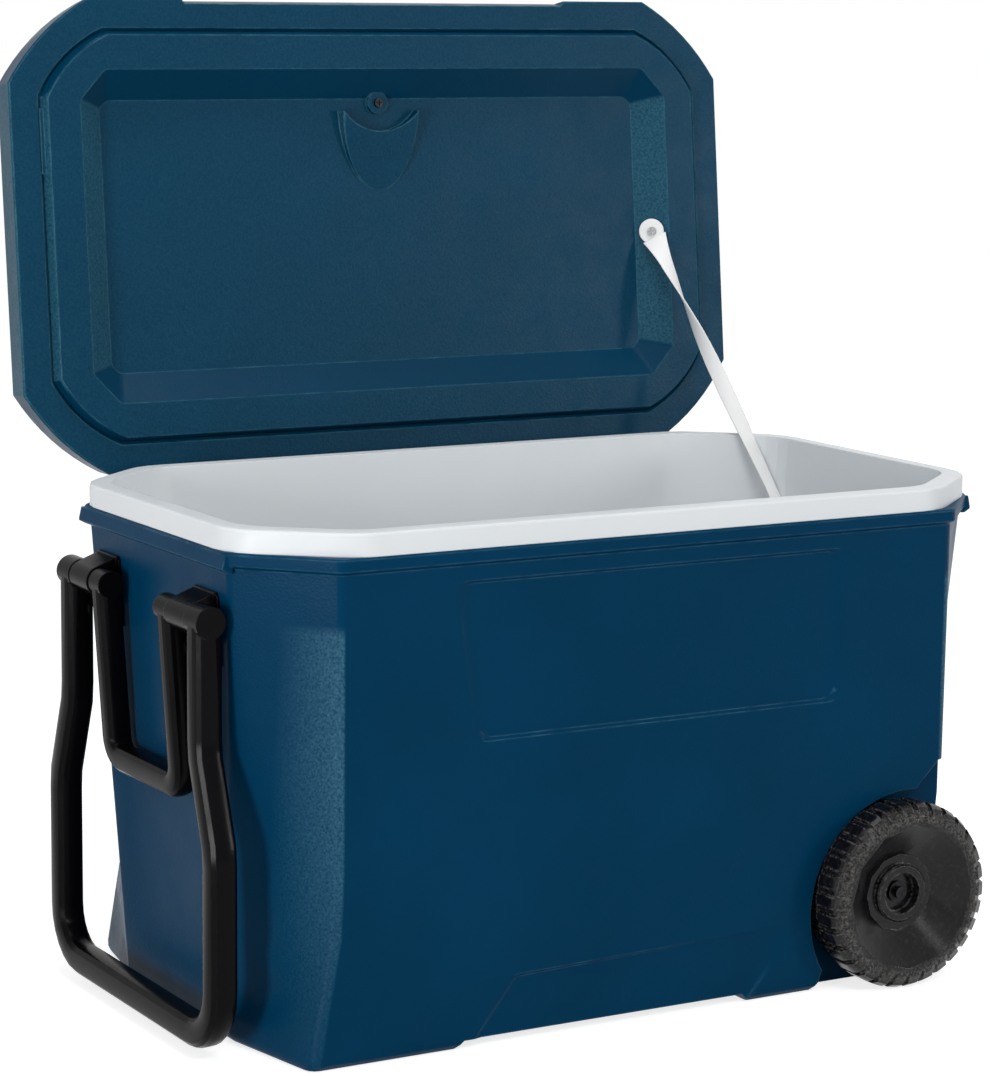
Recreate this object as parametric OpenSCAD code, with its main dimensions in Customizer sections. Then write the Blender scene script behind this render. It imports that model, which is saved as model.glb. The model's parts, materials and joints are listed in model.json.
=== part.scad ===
// Wheeled cooler: an insulated chest with a hinged lid, two corner wheels,
// a folding tow handle with a short carry handle inside it, and a drain.
// X runs along the chest with the wheels at +X, the front faces -Y, and Z is up.
// The origin lies on the ground under the middle of the chest.
// The lid stands open against its strap, and both handles hang down.

/* [Chest] */
// Length of the chest over its rim lip
body_length = 694; // [620:2:800]
// Depth of the chest over its rim lip
body_depth = 404; // [370:2:480]
// Height of the coloured shell
body_height = 395; // [350:1:450]
// Length of a corner face along the chest, at the rim
corner_run_x = 77; // [66:1:100]
// Length of a corner face across the chest, at the rim
corner_run_y = 66; // [45:1:90]
// How much shorter than the white rim's the shell's corner faces are along the chest
shell_corner_less = 15; // [0:1:18]
// How much shorter a corner face is along the chest at the base
corner_narrowing_x = 42; // [0:1:44]
// How much longer a corner face is across the chest at the base
corner_widening_y = 34; // [0:1:36]
// How far each end leans in from rim to base
end_draft = 18; // [4:1:24]
// How far the front and the back lean in from rim to base
side_draft = 2; // [1:1:12]
// Radius of the chest's upright edges
edge_radius = 12; // [6:1:20]
// Radius of the edge under the chest
base_radius = 10; // [8:1:18]
// Thickness of the coloured shell
shell_wall = 4; // [3:0.5:5]
// Height of the lip around the rim
lip_height = 13; // [10:1:18]
// How far the lip stands out
lip_proud = 4; // [3:0.5:5]
// How much further the ledge at each end stands out
ledge_proud = 2.5; // [0.5:0.5:4]

/* [Panels and feet] */
// Distance of the label panel's upper edge below the top of the coloured shell
label_below = 25; // [20:1:40]
// Height of the label panel
label_height = 126; // [90:1:130]
// Length of the label panel along its lower edge
label_length = 344; // [280:1:380]
// Lean of the label panel's handle-end edge
label_lean = 23; // [0:1:30]
// Depth of the recessed panels
recess_depth = 2.5; // [1:0.1:2.5]
// Length of the raised arch between the feet
arch_length = 276; // [200:1:300]
// Height of the arch between the feet
arch_height = 8; // [4:0.5:12]
// Depth of the arch in under the chest
arch_depth = 60; // [30:1:80]
// Height of the recessed kick panel over the arch
kick_height = 60; // [45:1:75]
// Width of the finger recess at the wheel end
grip_width = 130; // [90:1:160]
// Height of the finger recess at the wheel end
grip_height = 44; // [30:1:60]
// Depth of the finger recess at the wheel end
grip_depth = 7; // [4:0.5:8]

/* [Liner] */
// Width of the white rim from its outer face to the opening
rim_width = 16; // [14:0.5:24]
// Height of the white rim above the coloured shell
rim_height = 18.5; // [14:0.5:26]
// Thickness of the liner's walls
liner_wall = 2.5; // [2:0.25:3.5]
// Height of the liner's floor above the ground
floor_height = 42; // [34:1:60]
// How far each end of the liner leans in from rim to floor
liner_end_draft = 34; // [20:1:44]
// How far the liner's sides lean in from rim to floor
liner_side_draft = 32; // [28:1:44]
// Height of the step in the liner above the wheel wells
step_rise = 27; // [20:1:50]

/* [Lid] */
// How far the lid reaches past the rim lip at each end
lid_overhang_end = 5; // [2:0.5:8]
// How far the lid reaches past the rim lip at front and back
lid_overhang_side = 0; // [0:0.5:4]
// Height of the lid from its rim to its top
lid_height = 41; // [38:0.5:56]
// Gap between the closed lid and the white rim
lid_gap = 0.5; // [0.3:0.1:1]
// Thickness of the lid's outer shell
lid_wall = 4; // [3:0.5:5]
// Width of the lid's flat rim band
lid_band = 28; // [24:0.5:32]
// How far the inner panel drops into the opening
plug_drop = 7; // [4:0.5:9]
// Thickness of the inner panel
panel_wall = 3; // [2:0.5:4]
// Width of the flat border around the pan
pan_border = 33; // [26:1:44]
// Depth of the pan
pan_depth = 20; // [14:0.5:22]
// Horizontal run of the pan's sloping walls
pan_slope = 25; // [16:1:30]
// Length of the finger lift along the lid's front edge
lift_length = 384; // [200:2:440]
// How far the finger lift cuts into the lid's front edge
lift_depth = 5; // [2:0.5:7]
// Half the width of the tongue on the pan's floor
boss_radius = 38; // [28:1:42]
// Length of the tongue on the pan's floor
boss_tail = 72; // [56:1:90]
// Angle of the open lid past its closed place
lid_open_angle = 96; // [90:1:105]

/* [Hinges and strap] */
// Distance of the hinge axis behind the rim lip
hinge_behind = 11.5; // [10.5:0.5:14]
// Distance of the hinge axis below the top of the white rim
hinge_below = 22; // [18:0.5:26]
// Distance between the two hinges
hinge_spacing = 380; // [240:2:460]
// Length of a hinge along its pin
hinge_length = 60; // [44:1:80]
// Radius of the hinge knuckles
knuckle_radius = 6; // [5:0.5:7]
// Radius of the hinge pins
hinge_pin_radius = 2.5; // [2:0.1:3]
// Width of the lid strap
strap_width = 12; // [8:0.5:16]
// Thickness of the lid strap
strap_thickness = 1.6; // [1:0.1:2.5]
// Radius of the eyes at the strap's ends
strap_eye_radius = 12; // [8:0.5:13]
// Depth of the strap's lower eye below the top of the white rim
strap_foot_depth = 74.5; // [66:0.5:110]
// Distance of the strap's lower eye from the corner face behind it
strap_foot_gap = 30; // [28:1:60]
// Distance of the strap's upper eye behind the middle of the lid
strap_head_back = 9; // [0:1:40]

/* [Wheels] */
// Radius of the wheels
wheel_radius = 78; // [70:1:80]
// Width of the wheels
wheel_width = 52; // [44:1:60]
// How far the wheels stand out past the rim lip at front and back
wheel_stand_out = 26; // [24:1:36]
// Distance of the axle from the wheel end of the rim lip
axle_ahead = 115; // [110:1:130]
// Clearance between a wheel and the ground when the chest stands level
wheel_lift = 1; // [0.5:0.5:3]
// Clearance between a wheel and its well, where they come closest
well_clearance = 2; // [1:0.5:4]
// Radius of the axle rod
axle_radius = 5; // [4:0.5:7]
// Wall of the sleeve around the axle
sleeve_wall = 3; // [2:0.5:4]
// Number of tread blocks in each of the two rows
tread_blocks = 30; // [20:1:36]
// Height of the tread blocks
tread_height = 3; // [2:0.5:4]
// Number of flats around the wheel's dish
dish_flats = 12; // [8:1:12]
// Depth of the wheel's dish
dish_depth = 19; // [12:1:24]

/* [Handles] */
// Depth of the handle pivots below the top of the coloured shell
pivot_depth = 53; // [46:1:70]
// Distance of the handle pivots beyond the end of the rim lip
pivot_beyond = 11; // [10.5:0.5:16]
// Distance of the tow handle's upper arms from the middle
tow_arm_half = 122; // [118:1:132]
// Distance of the tow handle's lower arms from the middle
tow_grip_half = 148; // [136:1:160]
// Height of the tow grip's centre line above the ground
tow_grip_height = 20; // [18:1:60]
// Thickness of the tow handle
tow_thickness = 24; // [18:1:25]
// Distance of the carry handle's arms from the middle
carry_arm_half = 63; // [56:1:66]
// Drop of the carry handle's grip below the pivots
carry_drop = 141; // [110:1:160]
// Thickness of the carry handle
carry_thickness = 21; // [16:1:22]
// Radius of the handle pins
handle_pin_radius = 5; // [4:0.5:6]

/* [Drain] */
// Distance of the drain from the middle of the chest, towards the handles
drain_x = 150; // [60:1:200]
// Radius of the drain's bore
drain_bore = 8; // [6:0.5:9]
// Radius of the drain cap
drain_cap_radius = 19; // [17:0.5:24]

/* [Hidden] */
$fn = 64;
tiny = 0.01;
seat_gap = 0.1;         // between pieces that are fastened together
running_gap = 0.06;     // radial, between a pin and the bore that turns on it
joint_gap = 0.3;        // between pieces that move past each other
side_play = 0.7;        // sideways, between a knuckle and its neighbour
edge_steps = 3;         // facets on a rounded upright edge
bow_steps = 8;          // facets along a bowed corner face
wall_steps = 8;         // stretches up a tapering corner face
octagon_shrink = 0.586; // how much a corner face shortens per unit of inset

// Chest
rim_half = [body_length / 2 - lip_proud, body_depth / 2 - lip_proud];
rim_run = [corner_run_x, corner_run_y];
base_half = rim_half - [end_draft, side_draft];
shell_run = rim_run - [shell_corner_less, 0];
base_run = shell_run + [-corner_narrowing_x, corner_widening_y];
knee_height = 115;      // below it the corner faces narrow faster
knee_narrowing = 14;    // how much they have narrowed there
lip_bottom = body_height - lip_height;
lip_half = rim_half + [lip_proud, lip_proud];
lip_bevel = 1.5;

// Liner
rim_top = body_height + rim_height;
rim_inset = 1;
rim_skin = 3;
rim_round = 3;
opening_half = lip_half - [rim_inset + rim_width, rim_inset + rim_width];
liner_run_top = rim_run - [1, 1] * octagon_shrink * (rim_inset + rim_width - lip_proud);
liner_edge_radius = 45;
rim_edge_radius = 50;
floor_bevel = 10;
step_slope = 8;
floor_depth = rim_top - floor_height;

// Wheels
axle_x = lip_half.x - axle_ahead;
wheel_track_half = body_depth / 2 + wheel_stand_out;
axle_height = wheel_radius + wheel_lift;
outer_row_width = wheel_stand_out + 4;  // the outer row of tread stays outside the wall
inner_row_drop = 5;                     // the inner row runs in the well on a smaller radius
wheel_inner_y = wheel_track_half - wheel_width;
washer_thickness = 2;
washer_radius = 11;
well_inner_y = wheel_inner_y - washer_thickness - 2 * joint_gap;
well_shift = [16, -13]; // from the axle to the middle of the well
well_radius = wheel_radius - inner_row_drop + norm(well_shift) + well_clearance;
well_top = axle_height + well_shift.y + well_radius;
well_flare = 22;        // rise of the well's roof towards the chest's end
foot_round = 18;        // from the well to the level part of the foot before it
relief_height = 146;
relief_radius = wheel_radius - 4;
step_height = well_top + step_rise;
step_ahead = 20;        // foam between the step and the wells' housing
step_x = axle_x + well_shift.x - well_radius - shell_wall - step_ahead;
sleeve_radius = axle_radius + running_gap + sleeve_wall;
hub_radius = 24.5;
hub_recess_radius = 17;
hub_recess_depth = 9;
hub_rise = 5;
dish_radius = 61;
tyre_shoulder = 10;
tread_groove = 5;       // between the two rows
push_nut_radius = 9;
push_nut_thickness = 2.5;
axle_half = wheel_track_half - dish_depth + hub_rise - 2;

// Lid, in its closed place
lid_rim_z = rim_top + lid_gap;
lid_top_z = lid_rim_z + lid_height;
lid_half = lip_half + [lid_overhang_end, lid_overhang_side];
lid_run = [corner_run_x, corner_run_y] + [-1, 5];
lid_bow = 7;
lid_draft = 4;
lid_top_radius = 10;
lid_top_recess = 2;
seam = 2.5;             // width of the groove between the rim band and the inner panel
panel_half = lid_half - [lid_band, lid_band];
panel_run = lid_run - [1, 1] * octagon_shrink * lid_band;
pan_half = panel_half - [pan_border, pan_border];
pan_run = [24, 26];
pan_floor_run = [7, 7];
tab_length = 55;        // of the tab that fills the groove at the handle end
tab_ahead = 93;         // from the lid's front edge to the tab
pan_floor_half = pan_half - [pan_slope, pan_slope];
pan_floor_z = lid_rim_z - plug_drop + pan_depth;
pan_radius = 8;
boss_screw_y = 4 - pan_floor_half.y;
boss_root_y = boss_screw_y + 5;
boss_rise = 12;
boss_dish_radius = 48;
boss_dish_offset = 28;
boss_ring_radius = 10;
boss_ring_height = 4;
boss_screw_length = 5;

// Hinges and strap
hinge_y = body_depth / 2 + hinge_behind;
hinge_z = rim_top - hinge_below;
hinge_leaf = 5;
hinge_leaf_drop = 34;
lid_leaf_rise = 26;
hinge_screw_offset = 18;
screw_shank_radius = 2;
screw_head_radius = 4;
screw_head_height = 2.2;
screw_bite = 3.2;
strap_foot_height = rim_top - strap_foot_depth;
strap_foot_back = liner_half(strap_foot_height).y - liner_run_top.y - strap_foot_gap;
strap_head_x = pan_half.x - pan_slope / 2;
strap_head_z = lid_rim_z - plug_drop + pan_depth / 2;
strap_steps = 16;

// Handles
pivot_height = body_height - pivot_depth;
pivot_x = -lip_half.x - pivot_beyond;
bracket_half = (tow_arm_half - tow_thickness / 2 + carry_arm_half + carry_thickness / 2) / 2;
bracket_width = tow_arm_half - tow_thickness / 2 - carry_arm_half - carry_thickness / 2 - 2 * side_play;
bracket_plate = 3;
bracket_rise = 20;
bracket_drop = 38;
bracket_flare = 4;
bracket_nose = 12;
knuckle_skin = 3;
tow_upper_arm = 98;
tow_bend_drop = 78;
tow_bend_top = pivot_height - tow_upper_arm;
tow_bend_bottom = tow_bend_top - tow_bend_drop;
tow_bend_round = 8;
tow_corner = 40;
carry_corner = 16;
carry_hang = 4;         // the carry handle rests against the leaning wall

// Drain
drain_height = floor_height + 28;
drain_wall = 2.5;
drain_outer = drain_bore + drain_wall;
drain_nut_radius = drain_outer + 4;
drain_flange = 3;
drain_flange_radius = 17;
drain_gasket_thickness = 1.5;
drain_nut_thickness = 5;
drain_reach = 13;
drain_cap_wall = 2.5;

blue = "#0b3550";
white = "#dfe3e6";
black = "#1a191b";
foam_colour = "#e8dfc4";
steel = "#b8bcc0";

// ---------------------------------------------------------------- outlines

function unit(v) = v / norm(v);

// A rounded corner as points on the arc that touches both of its sides
function corner_arc(before, corner, after, radius, steps) =
    let (
        back = unit(before - corner),
        ahead = unit(after - corner),
        half_angle = acos(back * ahead) / 2,
        centre = corner + unit(back + ahead) * radius / sin(half_angle),
        start = corner + back * radius / tan(half_angle) - centre,
        turn = (back.x * ahead.y - back.y * ahead.x > 0 ? -1 : 1) * (180 - 2 * half_angle)
    )
    [for (i = [0:steps])
        let (a = turn * i / steps)
        centre + [start.x * cos(a) - start.y * sin(a), start.x * sin(a) + start.y * cos(a)]];

function rounded(corners, radius, steps = edge_steps) =
    let (n = len(corners))
    [for (i = [0:n - 1])
        each corner_arc(corners[(i + n - 1) % n], corners[i], corners[(i + 1) % n], radius, steps)];

// A rectangle with its four corners cut off
function octagon(half, run) = [
    [half.x, -half.y + run.y], [half.x, half.y - run.y],
    [half.x - run.x, half.y], [-half.x + run.x, half.y],
    [-half.x, half.y - run.y], [-half.x, -half.y + run.y],
    [-half.x + run.x, -half.y], [half.x - run.x, -half.y]
];

// A rounded octagon lying at one height
function ring(half, run, z, radius) = [for (p = rounded(octagon(half, run), radius)) [p.x, p.y, z]];

// A ring whose corner faces bow outwards between crisp edges
function bowed_ring(half, run, bow, z) =
    let (corners = octagon(half, run), n = len(corners))
    [for (i = [0:2:n - 1])
        let (
            from = corners[(i + 1) % n],
            to = corners[(i + 2) % n],
            outward = unit([to.y - from.y, from.x - to.x])
        )
        for (t = [0:1 / bow_steps:1])
            let (p = from + (to - from) * t + outward * bow * 4 * t * (1 - t))
            [p.x, p.y, z]];

// The same ring moved in on all sides, its corner faces kept parallel
function inset_ring(half, run, inset, z, radius) =
    ring(half - [inset, inset], run - [1, 1] * octagon_shrink * inset, z, max(radius - inset / 2, 2));

// A closed solid through rings of equal length, from the lowest to the highest
module loft(rings) {
    n = len(rings[0]);
    last = len(rings) - 1;
    polyhedron(
        points = [for (r = rings) each r],
        faces = [
            [for (i = [0:n - 1]) i],
            [for (i = [n - 1:-1:0]) last * n + i],
            for (k = [0:last - 1], i = [0:n - 1])
                let (a = k * n + i, b = k * n + (i + 1) % n)
                each [[a, a + n, b], [b, a + n, b + n]]
        ]
    );
}

// ---------------------------------------------------------------- shared parts

module screw(length) {
    difference() {
        union() {
            cylinder(r = screw_head_radius, h = screw_head_height);
            translate([0, 0, -length]) cylinder(r = screw_shank_radius, h = length + tiny);
        }
        for (a = [0, 90])
            rotate(a) translate([-2.4, -0.5, screw_head_height - 1.2]) cube([4.8, 1, 2]);
    }
}

module screw_hole(length) {
    translate([0, 0, -length]) cylinder(r = screw_shank_radius + running_gap, h = 2 * length);
}

// Turns the lid's pieces from their closed place to where the lid rests, open
module open_lid() {
    translate([0, hinge_y, hinge_z]) rotate([-lid_open_angle, 0, 0]) translate([0, -hinge_y, -hinge_z])
        children();
}

module at_hinges() {
    for (side = [-1, 1]) translate([side * hinge_spacing / 2, 0, 0]) children();
}

// ---------------------------------------------------------------- chest shell

function wall_half(z) = base_half + (rim_half - base_half) * z / body_height;
function corner_length(z) = z < knee_height
    ? base_run.x + (shell_run.x - knee_narrowing - base_run.x) * z / knee_height
    : shell_run.x - knee_narrowing * (body_height - z) / (body_height - knee_height);
function wall_run(z) = [corner_length(z), base_run.y + (shell_run.y - base_run.y) * z / body_height];
function body_ring(z, inset) = inset_ring(wall_half(z), wall_run(z), inset, z, edge_radius);

// Rings up a wall, close enough that its tapering corner faces turn smoothly
function wall_rings(low, high, inset) = [for (i = [1:wall_steps])
    body_ring(low + (high - low) * i / wall_steps, inset)];

// The rounded edge under a wall, as rings from the flat base up to the wall
function base_edge(radius, inset) = [for (a = [0:30:90])
    let (z = radius * (1 - cos(a)), ring_inset = inset + radius * (1 - sin(a)))
    body_ring(z + inset, ring_inset)];

module side_prism(half, depth) {
    translate([0, half + depth, 0]) rotate([90, 0, 0]) linear_extrude(depth) children();
}

// Pockets for the wheels: round over the wheel, rounded off at the foot and open towards the end
module wheel_wells(grow) {
    centre = [axle_x, axle_height] + well_shift;
    foot_end = centre.x - sqrt(well_radius * well_radius - pow(centre.y - foot_round, 2)) - grow;
    for (side = [0, 1]) mirror([0, side, 0])
        side_prism(well_inner_y - grow, body_depth / 2) {
            translate(centre) circle(r = well_radius + grow);
            polygon([
                [centre.x, centre.y],
                [centre.x, well_top + grow], [centre.x + 8, well_top + grow],
                [centre.x + 8 + well_flare, well_top + well_flare + grow],
                [body_length, well_top + well_flare + grow],
                [body_length, -body_height], [foot_end - foot_round * 0.6, -body_height],
                [foot_end - foot_round * 0.6, 0], [foot_end - foot_round * 0.2, foot_round * 0.4],
                [foot_end, foot_round]
            ]);
        }
}

// The base beyond the wheels is cut away, so that the chest can tip onto them
module tipping_relief(grow) {
    difference() {
        translate([0, body_depth, 0]) rotate([90, 0, 0]) linear_extrude(2 * body_depth)
            polygon([
                [axle_x, -body_height], [axle_x, axle_height],
                [axle_x + relief_radius - grow, axle_height],
                [axle_x + relief_radius - grow, relief_height - 20 + grow],
                [axle_x + relief_radius - grow + 20, relief_height + grow],
                [body_length, relief_height + grow], [body_length, -body_height]
            ]);
        translate([axle_x, body_depth, axle_height]) rotate([90, 0, 0])
            cylinder(r = relief_radius - grow, h = 2 * body_depth);
    }
}

// Arches under the long sides, between the feet
module foot_arches(grow) {
    for (side = [0, 1]) mirror([0, side, 0])
        side_prism(body_depth / 2 - arch_depth - grow, arch_depth + grow + 10)
            polygon([
                [foot_x - grow, -body_height], [foot_x - grow, 0], [foot_x + arch_height, arch_height + grow],
                [foot_x + arch_length - arch_height, arch_height + grow],
                [foot_x + arch_length + grow, 0], [foot_x + arch_length + grow, -body_height]
            ]);
}

// How far the front and back faces lean from upright
face_lean = atan(side_draft / body_height);

// A shallow recess in the front and back faces, with sloping sides
module face_recess(outline, radius) {
    outer = rounded(outline, radius);
    xs = [for (p = outline) p.x];
    ys = [for (p = outline) p.y];
    middle = [max(xs) + min(xs), max(ys) + min(ys)] / 2;
    shrink = 1 - 2 * recess_depth / (max(ys) - min(ys));
    inner = [for (p = outer) middle + (p - middle) * shrink];
    for (side = [0, 1]) mirror([0, side, 0])
        translate([0, base_half.y, 0]) rotate([90 - face_lean, 0, 0])
            loft([
                [for (p = outer) [p.x, p.y, -10]],
                [for (p = outer) [p.x, p.y, 0]],
                [for (p = inner) [p.x, p.y, recess_depth]]
            ]);
}

// The label panel, a slanted frame with nothing in it
label_ahead = 54;       // from the axle to the panel's wheel end
label_end = axle_x - label_ahead;
label_bottom = body_height - label_below - label_height;
label_outline = [
    [label_end - label_length, label_bottom], [label_end, label_bottom],
    [label_end + 2, label_bottom + label_height],
    [label_end - label_length - label_lean, label_bottom + label_height]
];

// The kick panel, whose ends slant down to the feet
foot_ahead = 136;       // from the axle to the arch's wheel end
foot_x = axle_x - foot_ahead - arch_length;
kick_outline = [
    [foot_x - 4, -20], [foot_x + arch_length - 18, -20],
    [foot_x + arch_length + 50, kick_height + 2], [foot_x + 48, kick_height - 5]
];

// A finger recess under the lip at the wheel end
module grip_recess(grow) {
    top = lip_bottom;
    end_x = wall_half(top).x;
    half_width = grip_width / 2 + grow;
    outline = rounded([
        [-half_width, top - grip_height - grow], [half_width, top - grip_height - grow],
        [half_width, top + grow], [-half_width, top + grow]
    ], 12);
    middle = [0, top];
    loft([
        [for (p = outline) let (q = middle + (p - middle) * 0.86) [end_x - grip_depth - grow, q.x, q.y]],
        [for (p = outline) [end_x - grow * 0.5, p.x, p.y]],
        [for (p = outline) [end_x + 20, p.x, p.y]]
    ]);
}

module body_outside() {
    loft(concat(
        base_edge(base_radius, 0),
        wall_rings(base_radius, lip_bottom, 0),
        [
            body_ring(lip_bottom + lip_proud * 0.7, -lip_proud),
            body_ring(body_height - lip_bevel, -lip_proud),
            body_ring(body_height, lip_bevel - lip_proud)
        ]
    ));
    end_ledges();
}

// A ledge along the lip at each end, between the corner faces, whose face leans back
module end_ledges() {
    half = lip_half.y - rim_run.y;
    for (side = [0, 1]) mirror([side, 0, 0])
        translate([0, half, 0]) rotate([90, 0, 0]) linear_extrude(2 * half) polygon([
            [rim_half.x - 2, lip_bottom - 3], [rim_half.x + 1, lip_bottom - 3],
            [lip_half.x + ledge_proud, lip_bottom], [lip_half.x + ledge_proud, lip_bottom + 2],
            [lip_half.x + 0.4, body_height - 2], [rim_half.x - 2, body_height - 2]
        ]);
}

// The room inside the shell's walls, which the foam fills
module body_room(above_rim = 0) {
    difference() {
        loft(concat(
            base_edge(base_radius - shell_wall, shell_wall),
            wall_rings(base_radius, lip_bottom, shell_wall),
            [for (z = above_rim > 0 ? [body_height, body_height + above_rim] : [body_height])
                inset_ring(rim_half, rim_run, shell_wall, z, edge_radius)]
        ));
        wheel_wells(shell_wall);
        tipping_relief(shell_wall);
        foot_arches(shell_wall);
        grip_recess(shell_wall);
    }
}

// Holes through the chest's walls, for the axle sleeve and the drain
module wall_holes() {
    translate([axle_x, body_depth / 2, axle_height]) rotate([90, 0, 0])
        cylinder(r = sleeve_radius + running_gap, h = body_depth);
    at_drain() translate([0, 0, -body_depth / 4]) cylinder(r = drain_outer + running_gap, h = body_depth / 2);
}

module outer_shell() {
    color(blue) difference() {
        body_outside();
        body_room(1);
        wheel_wells(0);
        tipping_relief(0);
        foot_arches(0);
        face_recess(label_outline, 12);
        face_recess(kick_outline, 10);
        grip_recess(0);
        wall_holes();
        at_hinges() at_body_hinge_screws() screw_hole(screw_bite);
        at_bracket_screws() screw_hole(screw_bite);
    }
}

// ---------------------------------------------------------------- foam and liner

function liner_half(z) = opening_half - [liner_end_draft, liner_side_draft] * (rim_top - z) / floor_depth;
function liner_ring(z, grow, bevel = 0) =
    inset_ring(liner_half(z), liner_run_top, bevel - grow, z, liner_edge_radius);

// The space inside the liner, or with grow the space that the liner takes out of the foam
module liner_room(grow, top) {
    difference() {
        loft([
            [for (p = liner_ring(floor_height, grow, floor_bevel)) [p.x, p.y, floor_height - grow]],
            liner_ring(floor_height + floor_bevel, grow),
            liner_ring(top, grow)
        ]);
        translate([0, body_depth, 0]) rotate([90, 0, 0]) linear_extrude(2 * body_depth)
            polygon([
                [step_x + grow, 0], [step_x + grow + step_slope, step_height - grow],
                [body_length, step_height - grow], [body_length, 0]
            ]);
    }
}

function rim_ring(inset, z) = inset_ring(lip_half, rim_run, rim_inset + inset, z, rim_edge_radius);

// The channel under the white rim, which the foam fills
module rim_channel(gap = 0) {
    loft([rim_ring(rim_skin + gap, body_height), rim_ring(rim_skin + gap, rim_top - rim_skin - gap)]);
}

module body_foam() {
    color(foam_colour) difference() {
        union() {
            body_room();
            rim_channel(seat_gap);
        }
        liner_room(liner_wall + seat_gap, rim_top + 1);
        wall_holes();
    }
}

// A flat seat for the drain's nut, on the leaning wall inside
module drain_pad() {
    pad_half = drain_nut_radius + 2;
    intersection() {
        liner_room(liner_wall, rim_top);
        at_drain() translate([-pad_half, -pad_half, -drain_inside]) cube([2 * pad_half, 2 * pad_half, 10]);
    }
}

module inner_liner() {
    color(white) difference() {
        union() {
            difference() {
                union() {
                    liner_room(liner_wall, rim_top + 1);
                    loft([
                        rim_ring(0, body_height), rim_ring(0, rim_top - rim_round),
                        rim_ring(rim_round * 0.3, rim_top - rim_round * 0.3), rim_ring(rim_round, rim_top)
                    ]);
                }
                difference() {
                    rim_channel();
                    liner_room(liner_wall, rim_top + 1);
                }
                liner_room(0, rim_top + 2);
                translate([-body_length, -body_depth, rim_top]) cube([2 * body_length, 2 * body_depth, 2]);
            }
            drain_pad();
        }
        wall_holes();
        at_strap_foot() screw_hole(liner_wall + 1);
    }
}

// ---------------------------------------------------------------- lid

function lid_ring(inset, z) =
    bowed_ring(lid_half - [inset, inset], lid_run - [1, 1] * octagon_shrink * inset, lid_bow, z);
function panel_ring(inset, z) =
    bowed_ring(panel_half - [inset, inset], panel_run - [1, 1] * octagon_shrink * inset, lid_bow, z);

module lid_outside() {
    loft([
        lid_ring(1, lid_rim_z),
        lid_ring(0, lid_rim_z + 1.5),
        lid_ring(lid_draft * 0.6, lid_top_z - lid_top_radius),
        lid_ring(lid_draft + lid_top_radius * 0.3, lid_top_z - lid_top_radius * 0.3),
        lid_ring(lid_draft + lid_top_radius, lid_top_z)
    ]);
}

// The room inside the lid's outer shell
module lid_room() {
    loft([
        lid_ring(lid_wall, lid_rim_z + lid_wall),
        lid_ring(lid_wall + lid_draft * 0.6, lid_top_z - lid_top_radius),
        lid_ring(lid_wall + lid_draft + lid_top_radius * 0.6, lid_top_z - lid_wall)
    ]);
}

// The opening in the lid's rim band that the inner panel sits in
module panel_seat(gap) {
    loft([
        panel_ring(-gap - seam, lid_rim_z - tiny),
        panel_ring(-gap, lid_rim_z + seam),
        panel_ring(-gap, lid_rim_z + lid_wall + tiny)
    ]);
}

// A long scoop under the lid's front edge for the fingers
module finger_lift() {
    half = lift_length / 2;
    front = -lid_half.y;
    loft([
        [[-half, front - 1, lid_rim_z - 1], [half, front - 1, lid_rim_z - 1],
         [half - lift_depth, front + lift_depth, lid_rim_z - 1], [-half + lift_depth, front + lift_depth, lid_rim_z - 1]],
        [[-half, front - 1, lid_rim_z + 20], [half, front - 1, lid_rim_z + 20],
         [half, front + 0.5, lid_rim_z + 20], [-half, front + 0.5, lid_rim_z + 20]]
    ]);
}

module lid_shell() {
    color(blue) open_lid() difference() {
        lid_outside();
        lid_room();
        panel_seat(seat_gap);
        finger_lift();
        loft([lid_ring(44, lid_top_z - lid_top_recess), lid_ring(40, lid_top_z + tiny)]);
        at_hinges() at_lid_hinge_screws() screw_hole(screw_bite);
    }
}

// The plug under the lid, or with grow the space behind its sheet
module plug(grow) {
    loft([
        panel_ring(4 + grow, lid_rim_z - plug_drop + grow),
        panel_ring(2.5 + grow, lid_rim_z - plug_drop + 1.5 + grow),
        panel_ring(grow, lid_rim_z + seam),
        panel_ring(grow, lid_rim_z + lid_wall)
    ]);
}

// The pan's hollow, or with grow the hollow and the sheet around it
module pan(grow, below) {
    loft([
        inset_ring(pan_half, pan_run, -grow, lid_rim_z - plug_drop - below, pan_radius),
        inset_ring(pan_half, pan_run, -grow, lid_rim_z - plug_drop, pan_radius),
        inset_ring(pan_floor_half, pan_floor_run, -grow, pan_floor_z + grow, pan_radius)
    ]);
}

// A tongue that slopes up from the pan's floor to a curved end facing the screw's ring
module pan_boss() {
    bevel = 1.5;
    plan = [for (a = [0:12:180]) [cos(a), sin(a)]];
    difference() {
        loft([
            [for (p = plan) [p.x * (boss_radius - bevel), boss_root_y + p.y * (boss_tail - bevel),
                             pan_floor_z - boss_rise * (1 - p.y)]],
            [for (p = plan) [p.x * boss_radius, boss_root_y + p.y * boss_tail,
                             pan_floor_z - (boss_rise - bevel) * (1 - p.y)]],
            [for (p = plan) [p.x * boss_radius, boss_root_y + p.y * boss_tail, pan_floor_z + 1]]
        ]);
        translate([0, boss_root_y - boss_dish_offset, pan_floor_z - 2 * boss_rise])
            cylinder(r = boss_dish_radius, h = 2 * boss_rise);
    }
    translate([0, boss_screw_y, pan_floor_z - boss_ring_height])
        cylinder(r = boss_ring_radius, h = boss_ring_height + 1);
}

// A tab that fills a stretch of the groove around the panel
module seam_tab() {
    reach = seam - 0.5;
    translate([-panel_half.x - reach, tab_ahead - lid_half.y, lid_rim_z - 1.5])
        cube([reach + panel_wall, tab_length, 1.8]);
}

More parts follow.
